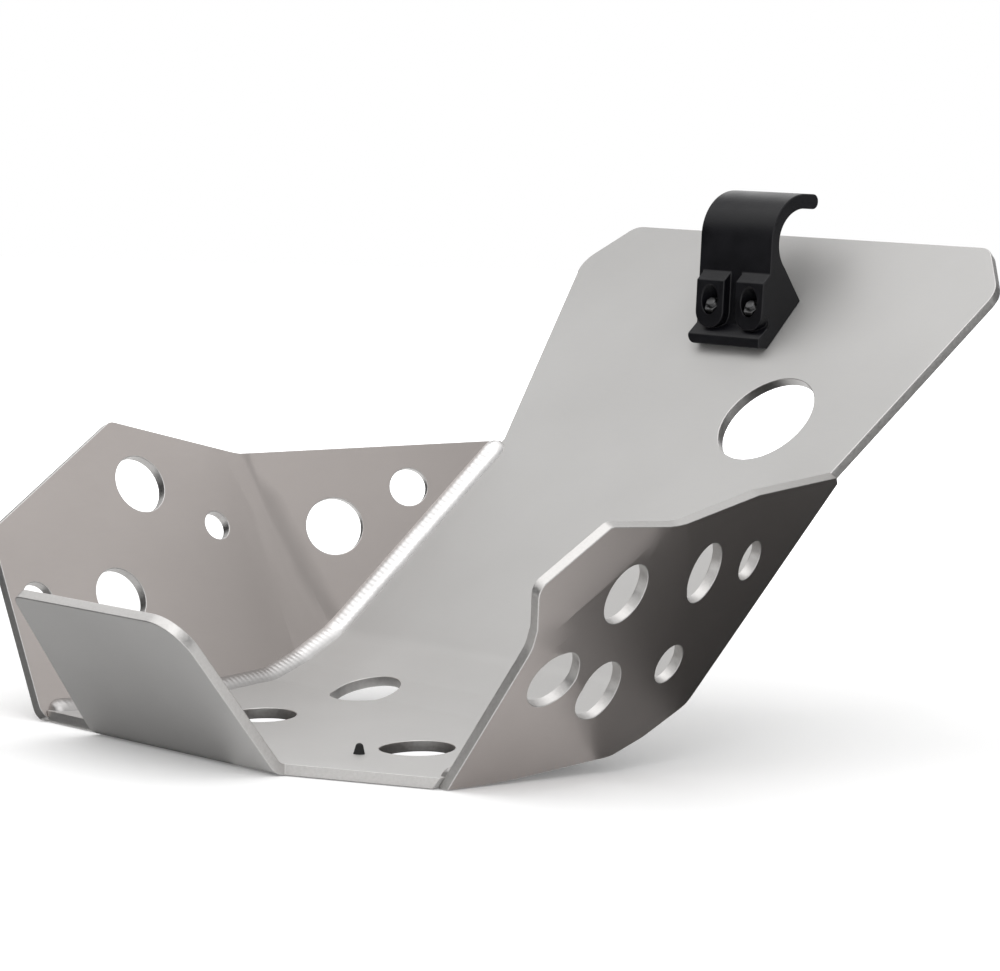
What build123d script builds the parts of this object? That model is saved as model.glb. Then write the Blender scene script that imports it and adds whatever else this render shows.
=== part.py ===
from build123d import *
import os
from math import cos, radians, sin, tan

# Motorcycle skid plate: a folded centre plate, two welded wings and a moulded frame hook.
# Lengths in mm, angles in degrees. X is to the right, Y to the nose, Z up.
# The shapes are drawn from the middle of the floor's rear edge, with its top face at zero.

# Sheet and folds of the centre plate, along its top face from the rear edge
sheet = 4.8
floor_flat = 61.0
floor_rise = 67.0
step_low = 21.5
step_high = 27.0
rise_angle = 6.0
step_low_angle = 18.3
step_high_angle = 26.0
nose_angle = 47.4
rise_radius = 400.0
fold_radius = 24.0

# Half width where the wings meet the floor's rear edge, and how far each fold lies outside or inside it
rear_half = 110.0
left_step_bulge = 7.0
left_nose_bulge = 10.0
left_tip_tuck = 9.5
right_rise_tuck = 2.5
right_nose_tuck = 4.5
right_tip_tuck = 2.0
tip_run = 301.0

# Nose above the wings, which ends past the frame's cross tube
crown_past = 20.4
crown_half = 113.4
crown_round = 10.0
shoulder_drop = 25.3
shoulder_flare = 20.0
shoulder_round = 14.0

# Rear edge: square to the left of the kink, swept forward to the right of it
kink_x = 53.5
right_rear_y = 34.0

# Rear tab, folded up and leaning backwards
tab_left = -70.0
tab_right = 53.5
tab_left_taper = 10.0
tab_right_taper = 5.0
tab_reach = 82.0
tab_bend = 50.0
tab_radius = 5.0
tab_left_round = 6.0
tab_right_round = 18.0

# Holes of the centre plate
drain_bore = 32.0
drain_x = 52.0
drain_y = 73.0
step_bore = 32.0
step_bore_x = -52.0
step_bore_run = 134.5
nose_bore = 49.0
nose_bore_x = 51.0
nose_bore_run = 330.0

# Lean of each wing facet out from upright
left_rear_flare = 25.5
left_step_flare = 25.0
left_nose_flare = 17.0
right_rear_flare = 31.0
right_step_flare = 22.5
right_nose_flare = 18.7
right_brow_flare = 14.0
right_brow_toe = 5.7
cut_flare = 24.0

# Corners of the left wing, seen from the side, on its inner face
left_heel_y = -3.0
heel_round = 8.0
left_back_y = -7.2
left_back_z = 75.4
left_peak_y = 72.6
left_peak_z = 121.6
left_dip_y = 142.5
left_dip_z = 106.5
left_tip_y = 254.7
left_tip_z = 116.4

# Corners of the right wing, seen from the side, on its outer face
right_heel_y = 36.0
right_heel_z = -5.0
right_waist_y = 45.0
right_waist_z = 56.0
right_back_y = 37.6
right_back_z = 81.4
right_peak_y = 74.2
right_peak_z = 105.5
right_dip_y = 116.4
right_dip_z = 104.3
right_brow_y = 183.9
right_brow_z = 113.7
right_tip_y = 257.6
right_tip_z = 117.5
brow_fold_y = 45.8
brow_fold_z = 58.5
wing_round = 6.0
dip_round = 16.0

# Holes of the wings, seen from the side
wing_bore = 27.0
wing_bore_mid = 18.0
wing_bore_small = 13.5
wing_bore_low = 16.0
left_bore_peak_y = 81.3
left_bore_peak_z = 93.7
left_bore_dip_y = 120.2
left_bore_dip_z = 74.6
left_bore_nose_y = 178.9
left_bore_nose_z = 74.1
left_bore_tip_y = 212.6
left_bore_tip_z = 93.2
left_bore_floor_y = 55.3
left_bore_floor_z = 45.4
left_bore_heel_y = 9.5
left_bore_heel_z = 46.0
right_bore_heel_y = 67.8
right_bore_heel_z = 41.5
right_bore_floor_y = 102.0
right_bore_floor_z = 34.1
right_bore_step_y = 148.9
right_bore_step_z = 42.0
right_bore_peak_y = 96.0
right_bore_peak_z = 76.3
right_bore_nose_y = 153.5
right_bore_nose_z = 81.7
right_bore_tip_y = 194.4
right_bore_tip_z = 84.2

# Weld beads along the inside corners
bead_radius = 5.0
bead_setback = 6.0

# Moulded hook over the frame's cross tube
tube_radius = 16.0
tube_play = 0.3
tube_run = 420.6
tube_off = 17.8
hook_wall = 5.0
hook_left = -22.0
hook_right = 24.0
hook_low_angle = 224.0
hook_high_angle = 84.0
hook_tip = 6.8
hook_tip_round = 3.2
strap_swell = 1.9
foot_low_back = 50.0
foot_high_back = 19.6
foot_off = 4.5
foot_ledge = 5.6
foot_slope = 5.2
foot_round = 4.0
pad_proud = 4.4
pad_height = 26.5
pad_lift = 4.6
pad_round = 8.0
pad_slope = 4.3

# Screws and nuts that hold the hook on the nose
screw_mid_x = 2.5
screw_pitch = 25.2
screw_back = 37.9
screw_shank = 5.0
screw_play = 0.4
screw_head = 10.0
screw_end_off = 17.0
nut_across = 8.0
nut_thick = 4.0
nut_seat_off = 11.0
nut_pocket = 10.0

# Rubber stop on the floor
stop_base = 5.0
stop_crown = 2.6
stop_height = 4.6
stop_x = 46.8
stop_y = 45.4

# Working space around the object
space = 900.0
margin = 60.0

# Sizes that follow
left_tip_half = rear_half - left_tip_tuck
right_tip_half = rear_half - right_tip_tuck
crown_run = tube_run + crown_past
shoulder_run = crown_run - shoulder_drop
shoulder_half = crown_half + shoulder_flare
foot_low_run = tube_run - foot_low_back
foot_high_run = tube_run - foot_high_back
screw_run = tube_run - screw_back
pad_width = 2 * (hook_right - screw_mid_x) - screw_pitch

# Knots of the folded top face: run, Y, Z
fold_lengths = [floor_flat, floor_rise, step_low, step_high, space]
fold_angles = [0.0, rise_angle, step_low_angle, step_high_angle, nose_angle]
knots = [(0.0, 0.0, 0.0)]
for length, angle in zip(fold_lengths, fold_angles):
    run, y, z = knots[-1]
    knots.append((run + length, y + length * cos(radians(angle)), z + length * sin(radians(angle))))
rise_run, step_run, high_run, nose_run = [knot[0] for knot in knots[1:5]]


def top_point(x, run):
    """Point of the unrounded top face at a half width and a run along the sheet."""
    for angle, start, end in zip(fold_angles, knots, knots[1:]):
        if run <= end[0]:
            step = run - start[0]
            return Vector(x, start[1] + step * cos(radians(angle)), start[2] + step * sin(radians(angle)))


def fold_line(depth):
    """Rounded side view of the sheet at a depth under its top face, on the YZ plane."""
    points = [(-margin, -depth)]
    for before, after, knot in zip(fold_angles, fold_angles[1:], knots[1:]):
        half = radians(after - before) / 2
        lean = radians(after + before) / 2
        reach = depth / cos(half)
        points.append((knot[1] + reach * sin(lean), knot[2] - reach * cos(lean)))
    end = top_point(0, crown_run + margin)
    nose = radians(nose_angle)
    points.append((end.Y + depth * sin(nose), end.Z - depth * cos(nose)))
    radii = [rise_radius + depth] + [fold_radius + depth] * (len(points) - 3)
    return FilletPolyline(*points, radius=radii)


def side_prism(*lines):
    """Solid across the whole width from closed lines drawn in side view (Y, Z)."""
    face = Plane.YZ * make_face(lines)
    return extrude(face, space / 2, both=True)


def above(depth):
    """Everything above the sheet's face at a depth."""
    line = fold_line(depth)
    low, high = line @ 0, line @ 1
    lid = Polyline(high, (high.X, space), (low.X, space), low)
    return side_prism(line, lid)


def folded_sheet():
    """The folded sheet across the whole width."""
    upper, lower = fold_line(0), fold_line(sheet)
    return side_prism(upper, lower, Line(upper @ 0, lower @ 0), Line(upper @ 1, lower @ 1))


class Facet:
    """One flat facet of a wing, by a point of its inner face and its outward normal."""

    def __init__(self, point, normal):
        self.point = point
        self.normal = normal.normalized()

    def inside(self, offset=0.0):
        """Half space on the inner side, moved outwards by an offset."""
        origin = self.point + self.normal * offset
        return Plane(origin=origin, z_dir=self.normal) * Pos(0, 0, -space / 2) * Box(space, space, space)

    def at(self, y, z, offset=0.0):
        """Point of the facet at a place in side view, on the face moved out by an offset."""
        start = self.point + self.normal * offset
        slope = self.normal.Y * (y - start.Y) + self.normal.Z * (z - start.Z)
        return Vector(start.X - slope / self.normal.X, y, z)

    def drill(self, place, bore, offset=0.0):
        """Cylinder square to the facet through a place in side view."""
        return Plane(origin=self.at(*place, offset), z_dir=self.normal) * Cylinder(bore / 2, margin)


def edge_facet(start, end, flare, side):
    """Facet that holds a plate edge and leans out by a flare to one side."""
    out, down = side * cos(radians(flare)), -sin(radians(flare))
    way = end - start
    forward = -(out * way.X + down * way.Z) / way.Y
    return Facet(start, Vector(out, forward, down))


def overlap(shapes):
    """Common volume of several solids."""
    result = shapes[0]
    for shape in shapes[1:]:
        result = result & shape
    return result


# Facets of the left wing, rear to nose
left_edge = [
    top_point(-rear_half, 0),
    top_point(-rear_half - left_step_bulge, high_run),
    top_point(-rear_half - left_nose_bulge, nose_run),
    top_point(-left_tip_half, tip_run),
]
left_rear = edge_facet(left_edge[0], left_edge[1], left_rear_flare, -1)
left_step = edge_facet(left_edge[1], left_edge[2], left_step_flare, -1)
left_nose = edge_facet(left_edge[2], left_edge[3], left_nose_flare, -1)
left_facets = [left_rear, left_step, left_nose]

# Facets of the right wing, rear to nose, and the upright brow over them
right_edge = [
    top_point(rear_half, right_rear_y),
    top_point(rear_half - right_rise_tuck, step_run),
    top_point(rear_half - right_nose_tuck, nose_run),
    top_point(right_tip_half, tip_run),
]
right_rear = edge_facet(right_edge[0], right_edge[1], right_rear_flare, 1)
right_step = edge_facet(right_edge[1], right_edge[2], right_step_flare, 1)
right_nose = edge_facet(right_edge[2], right_edge[3], right_nose_flare, 1)
brow_lean = radians(right_brow_flare)
brow_normal = Vector(cos(brow_lean), tan(radians(right_brow_toe)), -sin(brow_lean))
brow_seat = right_step.at(brow_fold_y, brow_fold_z, sheet)
right_upper = Facet(brow_seat - brow_normal.normalized() * sheet, brow_normal)
right_facets = [right_rear, right_step, right_nose, right_upper]

left_inside = overlap([facet.inside() for facet in left_facets])
right_inside = overlap([facet.inside() for facet in right_facets])
left_outside = overlap([facet.inside(sheet) for facet in left_facets])
right_outside = overlap([facet.inside(sheet) for facet in right_facets])
over_sheet = above(0)
over_under = above(sheet)

# Axes of the nose: across, along the sheet, off its top face
nose_origin = top_point(0, nose_run)
nose_plane = Plane(
    origin=nose_origin,
    x_dir=(1, 0, 0),
    z_dir=(0, -sin(radians(nose_angle)), cos(radians(nose_angle))),
)


def on_nose(x, run, off=0.0):
    """Place a shape's axes on the nose at a run along the sheet."""
    return nose_plane * Pos(x, run - nose_run, off)


# Lower part of the centre plate, between the wings
below_tip = on_nose(0, tip_run - space / 2) * Box(2 * space, space, space)
lower_plate = overlap([folded_sheet(), left_inside, right_inside, below_tip])
swept = right_rear_y / (rear_half - kink_x)
rear_plan = make_face(
    Polyline(
        (-space, 0),
        (kink_x, 0),
        (kink_x + space, swept * space),
        (kink_x + space, space),
        (-space, space),
        close=True,
    )
)
lower_plate = lower_plate & extrude(rear_plan, space / 2, both=True)

# Nose with chamfered upper corners
nose_outline = make_face(
    Polyline(
        (-left_tip_half, tip_run - nose_run),
        (right_tip_half, tip_run - nose_run),
        (shoulder_half, shoulder_run - nose_run),
        (crown_half, crown_run - nose_run),
        (-crown_half, crown_run - nose_run),
        (-shoulder_half, shoulder_run - nose_run),
        close=True,
    )
)
corners = nose_outline.vertices().group_by(Axis.Y)
nose_outline = fillet(corners[1], shoulder_round)
nose_outline = fillet(nose_outline.vertices().group_by(Axis.Y)[-1], crown_round)
nose_plate = nose_plane * extrude(nose_outline, -sheet)

# Rear tab: a bend on the rear edge, then a flat leaf
tab_width = tab_right - tab_left
bend_center = (0, tab_radius)
bend_arc = radians(tab_bend)
bend_face = make_face(
    [
        CenterArc(bend_center, tab_radius, 270 - tab_bend, tab_bend),
        CenterArc(bend_center, tab_radius + sheet, 270 - tab_bend, tab_bend),
        Line((0, 0), (0, -sheet)),
        Line(
            (-tab_radius * sin(bend_arc), tab_radius - tab_radius * cos(bend_arc)),
            (
                -(tab_radius + sheet) * sin(bend_arc),
                tab_radius - (tab_radius + sheet) * cos(bend_arc),
            ),
        ),
    ]
)
tab_knee = Pos(tab_left, 0, 0) * extrude(Plane.YZ * bend_face, tab_width)
leaf_plane = Plane(
    origin=(0, -tab_radius * sin(bend_arc), tab_radius - tab_radius * cos(bend_arc)),
    x_dir=(1, 0, 0),
    z_dir=(0, -sin(bend_arc), -cos(bend_arc)),
)
leaf_reach = tab_reach - tab_radius * bend_arc
leaf_outline = make_face(
    Polyline(
        (tab_left, 0),
        (tab_right, 0),
        (tab_right - tab_right_taper, leaf_reach),
        (tab_left + tab_left_taper, leaf_reach),
        close=True,
    )
)
for corner_x, corner_round in (
    (tab_left + tab_left_taper, tab_left_round),
    (tab_right - tab_right_taper, tab_right_round),
):
    leaf_corner = leaf_outline.vertices().sort_by_distance((corner_x, leaf_reach))[0]
    leaf_outline = fillet(leaf_corner, corner_round)
tab_leaf = leaf_plane * extrude(leaf_outline, sheet)

centre_plate = lower_plate + nose_plate + tab_knee + tab_leaf
for x in (-drain_x, drain_x):
    centre_plate -= Pos(x, drain_y, 0) * Cylinder(drain_bore / 2, margin)
step_seat = top_point(step_bore_x, step_bore_run)
centre_plate -= Plane(
    origin=step_seat,
    z_dir=(0, -sin(radians(step_low_angle)), cos(radians(step_low_angle))),
) * Cylinder(step_bore / 2, margin)
centre_plate -= on_nose(nose_bore_x, nose_bore_run) * Cylinder(nose_bore / 2, margin)


# Wings: the folded shell cut to its outline, square to the sheet
def wing_prism(side, corners, rounds):
    """Prism along a wing's mean normal from corner points, with its corners rounded."""
    plane = Plane(
        origin=(0, 0, 0),
        x_dir=(0, 1, 0),
        z_dir=(side * cos(radians(cut_flare)), 0, -sin(radians(cut_flare))),
    )
    flat = [plane.to_local_coords(corner) for corner in corners]
    points = [(point.X, point.Y) for point in flat]
    face = make_face(Polyline(*points, close=True))
    for point, radius in zip(points, rounds):
        if radius:
            face = fillet(face.vertices().sort_by_distance(point)[0], radius)
    return plane * extrude(face, space, both=True)


def tip_corners(facet, tip, offset):
    """The two corners of a wing's blunt front end, square to the nose."""
    top = facet.at(*tip, offset)
    down = nose_plane.z_dir * margin
    low = facet.at(top.Y - down.Y, top.Z - down.Z, offset)
    return [top, low]


left_corners = [
    left_rear.at(left_heel_y + 2 * heel_round, -margin),
    left_rear.at(left_heel_y + 2 * heel_round, -sheet),
    left_rear.at(left_heel_y, -sheet),
    left_rear.at(left_back_y, left_back_z),
    left_rear.at(left_peak_y, left_peak_z),
    left_rear.at(left_dip_y, left_dip_z),
] + tip_corners(left_nose, (left_tip_y, left_tip_z), 0.0)
left_rounds = [0, 0, heel_round, wing_round, wing_round, dip_round, 0, 0]
left_wing = (left_outside - left_inside) & wing_prism(-1, left_corners, left_rounds) & over_under
left_bores = [
    (left_rear, (left_bore_peak_y, left_bore_peak_z), wing_bore),
    (left_rear, (left_bore_dip_y, left_bore_dip_z), wing_bore_small),
    (left_nose, (left_bore_nose_y, left_bore_nose_z), wing_bore),
    (left_nose, (left_bore_tip_y, left_bore_tip_z), wing_bore_mid),
    (left_rear, (left_bore_floor_y, left_bore_floor_z), wing_bore),
    (left_rear, (left_bore_heel_y, left_bore_heel_z), wing_bore_low),
]
left_wing -= nose_plate
for facet, place, bore in left_bores:
    left_wing -= facet.drill(place, bore)

right_corners = [
    right_rear.at(right_heel_y, -margin, sheet),
    right_rear.at(right_heel_y, right_heel_z, sheet),
    right_rear.at(right_waist_y, right_waist_z, sheet),
    right_upper.at(right_back_y, right_back_z, sheet),
    right_upper.at(right_peak_y, right_peak_z, sheet),
    right_step.at(right_dip_y, right_dip_z, sheet),
    right_nose.at(right_brow_y, right_brow_z, sheet),
] + tip_corners(right_nose, (right_tip_y, right_tip_z), sheet)
right_rounds = [0, 0, dip_round, wing_round, wing_round, dip_round, dip_round, 0, 0]
right_wing = (right_outside - right_inside) & wing_prism(1, right_corners, right_rounds) & over_under
right_bores = [
    (right_rear, (right_bore_heel_y, right_bore_heel_z), wing_bore),
    (right_step, (right_bore_floor_y, right_bore_floor_z), wing_bore),
    (right_step, (right_bore_step_y, right_bore_step_z), wing_bore_mid),
    (right_step, (right_bore_peak_y, right_bore_peak_z), wing_bore),
    (right_nose, (right_bore_nose_y, right_bore_nose_z), wing_bore),
    (right_nose, (right_bore_tip_y, right_bore_tip_z), wing_bore_mid),
]
right_wing -= nose_plate
for facet, place, bore in right_bores:
    right_wing -= facet.drill(place, bore, sheet)


# Weld beads: a rounded cord in the inside corner of each seam
def seam_points(facets, start_run):
    """Points of a seam at each fold of the plate, from a start run to the wing tip."""
    runs = [start_run, rise_run, step_run, high_run, nose_run, tip_run - bead_setback]
    points = []
    for run in runs:
        place = top_point(0, run)
        spread = [abs(facet.at(place.Y, place.Z).X) for facet in facets]
        nearest = facets[spread.index(min(spread))]
        points.append(nearest.at(place.Y, place.Z))
    return points


def bead(points, inside):
    """Cord through the points, kept to the inside corner between plate and wing."""
    cord = Pos(*points[0]) * Sphere(bead_radius)
    for start, end in zip(points, points[1:]):
        way = end - start
        rod = Cylinder(bead_radius, way.length, align=(Align.CENTER, Align.CENTER, Align.MIN))
        cord += Plane(origin=start, z_dir=way) * rod
        cord += Pos(*end) * Sphere(bead_radius)
    return cord & inside & over_sheet


left_weld = bead(seam_points(left_facets, bead_setback), left_inside)
right_seam = seam_points([right_rear, right_step, right_nose], right_rear_y + bead_setback)
right_weld = bead(right_seam, right_inside)

# Hook: foot on the nose, upright wall, and an open ring over the cross tube
ring_seat = on_nose(0, tube_run, tube_off).position
ring_y, ring_z = ring_seat.Y, ring_seat.Z
ring_in = tube_radius + tube_play
ring_out = ring_in + hook_wall


def ring_point(radius, angle):
    """Point of the hook's ring in side view."""
    return (ring_y + radius * cos(radians(angle)), ring_z + radius * sin(radians(angle)))


foot_low = top_point(0, foot_low_run)
foot_high = top_point(0, foot_high_run)
wall_y = ring_y - ring_out
wall_low_z = foot_low.Z + foot_off
ring_turn = hook_low_angle - hook_high_angle
tip_in = ring_point(ring_in, hook_high_angle)
tip_y = tip_in[0] + hook_tip
strap_z = ring_z + strap_swell
strap_top = strap_z + ring_out
hook_face = make_face(
    [
        CenterArc((ring_y, ring_z), ring_in, hook_high_angle, ring_turn),
        CenterArc((ring_y, strap_z), ring_out, 90, 90),
        Polyline(
            (wall_y, strap_z),
            (wall_y, wall_low_z + foot_slope),
            (wall_y - foot_ledge, wall_low_z),
            (wall_y - foot_ledge, foot_low.Z),
            (foot_low.Y, foot_low.Z),
            (foot_high.Y, foot_high.Z),
            ring_point(ring_in, hook_low_angle),
        ),
        Polyline(tip_in, (tip_y, tip_in[1]), (tip_y, strap_top), (ring_y, strap_top)),
    ]
)
hook_body = Pos(hook_left, 0, 0) * extrude(Plane.YZ * hook_face, hook_right - hook_left)
hook_body = fillet(hook_body.edges().filter_by(Axis.X).sort_by(Axis.Y)[-2:], hook_tip_round)
foot_edges = hook_body.edges().filter_by(Axis.Y).group_by(Axis.Z)[0]
hook_body = fillet(foot_edges.sort_by(Axis.X)[0], foot_round)
screw_places = [screw_mid_x - screw_pitch / 2, screw_mid_x + screw_pitch / 2]
pad_mid = on_nose(0, screw_run, nut_seat_off).position
pad_mid_z = pad_mid.Z + pad_lift
pad_top_z = pad_mid_z + pad_height / 2
pad_low_z = pad_mid_z - pad_height / 2
pad_side = side_prism(
    Polyline(
        (wall_y, pad_low_z),
        (wall_y - pad_proud, pad_low_z),
        (wall_y - pad_proud, pad_top_z - pad_slope),
        (wall_y, pad_top_z),
        close=True,
    )
)
pad_outline = Rectangle(pad_width, pad_height)
pad_outline = fillet(pad_outline.vertices().group_by(Axis.Y)[0], pad_round)
for x in screw_places:
    pad_plane = Plane(origin=(x, wall_y, pad_mid_z), x_dir=(1, 0, 0), z_dir=(0, -1, 0))
    hook_body += pad_plane * extrude(pad_outline, pad_proud) & pad_side
for x in screw_places:
    clear = Cylinder((screw_shank + screw_play) / 2, 2 * margin)
    pocket = Cylinder(nut_pocket / 2, margin, align=(Align.CENTER, Align.CENTER, Align.MIN))
    hook_body -= on_nose(x, screw_run) * clear
    hook_body -= on_nose(x, screw_run, nut_seat_off) * pocket
frame_hook = hook_body

# Countersunk screws from the outer face, with a nut in each pocket
screw_cone = (screw_head - screw_shank) / 2
screws = []
nuts = []
for x in screw_places:
    shank_length = screw_end_off + sheet
    shank = on_nose(x, screw_run, -sheet) * Cylinder(
        screw_shank / 2, shank_length, align=(Align.CENTER, Align.CENTER, Align.MIN)
    )
    head = on_nose(x, screw_run, -sheet) * Cone(
        screw_head / 2, screw_shank / 2, screw_cone, align=(Align.CENTER, Align.CENTER, Align.MIN)
    )
    screw = shank + head
    screws.append(screw)
    hole = on_nose(x, screw_run) * Cylinder((screw_shank + screw_play) / 2, 2 * margin)
    centre_plate = centre_plate - hole - head
    blank = extrude(RegularPolygon(nut_across / 2, 6, major_radius=False), nut_thick)
    nut = on_nose(x, screw_run, nut_seat_off) * blank - shank
    nuts.append(nut)

# Rubber stop on the floor
bump_stop = over_sheet & Pos(stop_x, stop_y, 0) * Cone(
    stop_base / 2, stop_crown / 2, stop_height, align=(Align.CENTER, Align.CENTER, Align.MIN)
)

os.makedirs("parts", exist_ok=True)
nodes = {
    "centre_plate": centre_plate,
    "left_wing": left_wing,
    "right_wing": right_wing,
    "left_weld": left_weld,
    "right_weld": right_weld,
    "frame_hook": frame_hook,
    "hook_screws": Compound([solid for screw in screws for solid in screw.solids()]),
    "hook_nuts": Compound([solid for nut in nuts for solid in nut.solids()]),
    "bump_stop": bump_stop,
}

# Row frame: the origin lies on the ground under the middle of the whole object
whole = Compound([solid for shape in nodes.values() for solid in shape.solids()]).bounding_box()
seat = Pos(-whole.center().X, -whole.center().Y, -whole.min.Z)
for name, shape in nodes.items():
    export_step(seat * shape, f"parts/{name}.step")
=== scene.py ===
"""Looks of a motorcycle skid plate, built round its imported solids.

The folded centre plate and the two welded wings get rounded, burnished edges, the weld beads get
their ripples, and the moulded hook, its fasteners and the rubber stop get finishes of their own.
Lengths are in metres, in the frame of the solids: X to the right, Y to the nose, Z up.
"""

import logging
import math
from dataclasses import dataclass
from enum import Enum
from functools import cache

import bmesh
import bpy
from bmesh.types import BMesh, BMFace, BMVert
from bpy.types import Material, Node, NodeSocket, NodeTree, Object
from mathutils import Matrix, Vector
from mathutils.bvhtree import BVHTree


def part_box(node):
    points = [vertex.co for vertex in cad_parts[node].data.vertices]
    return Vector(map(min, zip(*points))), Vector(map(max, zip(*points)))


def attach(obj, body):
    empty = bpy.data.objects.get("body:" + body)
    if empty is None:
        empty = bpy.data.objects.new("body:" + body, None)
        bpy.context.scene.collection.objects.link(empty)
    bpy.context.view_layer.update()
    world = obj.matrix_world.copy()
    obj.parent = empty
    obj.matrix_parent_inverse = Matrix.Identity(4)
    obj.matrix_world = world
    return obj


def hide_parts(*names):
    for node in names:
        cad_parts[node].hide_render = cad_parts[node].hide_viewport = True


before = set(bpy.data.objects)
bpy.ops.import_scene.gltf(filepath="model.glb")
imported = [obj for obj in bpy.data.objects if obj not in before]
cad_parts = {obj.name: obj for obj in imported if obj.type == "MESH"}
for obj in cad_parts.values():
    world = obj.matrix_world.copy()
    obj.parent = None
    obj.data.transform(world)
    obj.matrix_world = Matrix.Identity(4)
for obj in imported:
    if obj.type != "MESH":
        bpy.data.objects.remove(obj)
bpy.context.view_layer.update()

LOG = logging.getLogger("skid_plate")
BODY = "root"
MM = 0.001
UP = Vector((0, 0, 1))
WHITE = (1, 1, 1, 1)

# Limits that tell the corners, edges and planes of a mesh apart
MERGE_DISTANCE = 1e-6
FLAT_ANGLE = math.radians(0.4)
SHARP_ANGLE = math.radians(30)
CREASE_ANGLE = math.radians(50)
STRAY_SHARE = 0.8
DIRECTION_STEPS = 100

# The part of a noise pattern's span that colours and values follow, and its finer layers
NOISE_LOW = 0.3
NOISE_HIGH = 0.7
GRAIN_LAYERS = 2
CLOUD_LAYERS = 3

Colour = tuple[float, float, float]
Place = tuple[float, float, float]


class Slot(Enum):
    """Material slots of the record."""

    PLATE = "plate"
    WING = "wing"
    WELD = "weld"
    HOOK = "hook"
    STEEL = "steel"
    RUBBER = "rubber"


class Side(Enum):
    """Sides of the plate, with the sign of X on each."""

    LEFT = -1
    RIGHT = 1


class Grain(Enum):
    """Ways that a sheet's grain can run, with the number of the axis."""

    ACROSS = 0
    ALONG = 1


class NodeBuilder:
    """Builder for the nodes of one shader tree."""

    def __init__(self, tree: NodeTree) -> None:
        """Start on an emptied tree.

        Args:
            tree: node tree of a material or of the world.
        """
        self.tree = tree
        self.tree.nodes.clear()

    def fill(self, socket: NodeSocket, value: object) -> None:
        """Give an input a value, or link it to an output.

        Args:
            socket: the input.
            value: the value or the output socket.
        """
        if isinstance(value, NodeSocket):
            self.tree.links.new(value, socket)
        else:
            socket.default_value = value

    def add(self, kind: str, **inputs: object) -> Node:
        """Add a node and fill its inputs.

        Args:
            kind: Blender's name of the node's type.
            inputs: values or output sockets, by input name with underscores for spaces.

        Returns:
            The new node.
        """
        node = self.tree.nodes.new(kind)
        for name, value in inputs.items():
            self.fill(node.inputs[name.replace("_", " ")], value)
        return node

    def work_out(self, kind: str, operation: str, *values: object) -> Node:
        """Add a node that works with numbers or vectors.

        Args:
            kind: Blender's name of the node's type.
            operation: Blender's name of what it does.
            values: values or output sockets, in the order of the inputs.

        Returns:
            The new node.
        """
        node = self.add(kind)
        node.operation = operation
        for socket, value in zip(node.inputs, values):
            self.fill(socket, value)
        return node

    def number(self, operation: str, *values: object) -> NodeSocket:
        """Work out a number from numbers."""
        return self.work_out("ShaderNodeMath", operation, *values).outputs["Value"]

    def vector(self, operation: str, *values: object) -> NodeSocket:
        """Work out a vector from vectors."""
        return self.work_out("ShaderNodeVectorMath", operation, *values).outputs["Vector"]

    def length(self, operation: str, *values: object) -> NodeSocket:
        """Work out a length from vectors."""
        return self.work_out("ShaderNodeVectorMath", operation, *values).outputs["Value"]

    def ramp(self, value: NodeSocket, start: float, end: float, first: float, last: float) -> NodeSocket:
        """Map a number from one range onto another, and hold it at the ends.

        Args:
            value: the number.
            start: number where the ramp starts.
            end: number where it ends.
            first: result at the start.
            last: result at the end.

        Returns:
            The mapped number.
        """
        node = self.add(
            "ShaderNodeMapRange",
            Value=value,
            From_Min=start,
            From_Max=end,
            To_Min=first,
            To_Max=last,
        )
        return node.outputs["Result"]

    def seen(self) -> NodeSocket:
        """Tell the rays that look at the surroundings from those that light the object.

        Returns:
            1 for camera, glossy and transmission rays, and 0 for the others.
        """
        path = self.add("ShaderNodeLightPath").outputs
        direct = self.number("MAXIMUM", path["Is Camera Ray"], path["Is Glossy Ray"])
        return self.number("MAXIMUM", direct, path["Is Transmission Ray"])


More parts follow.
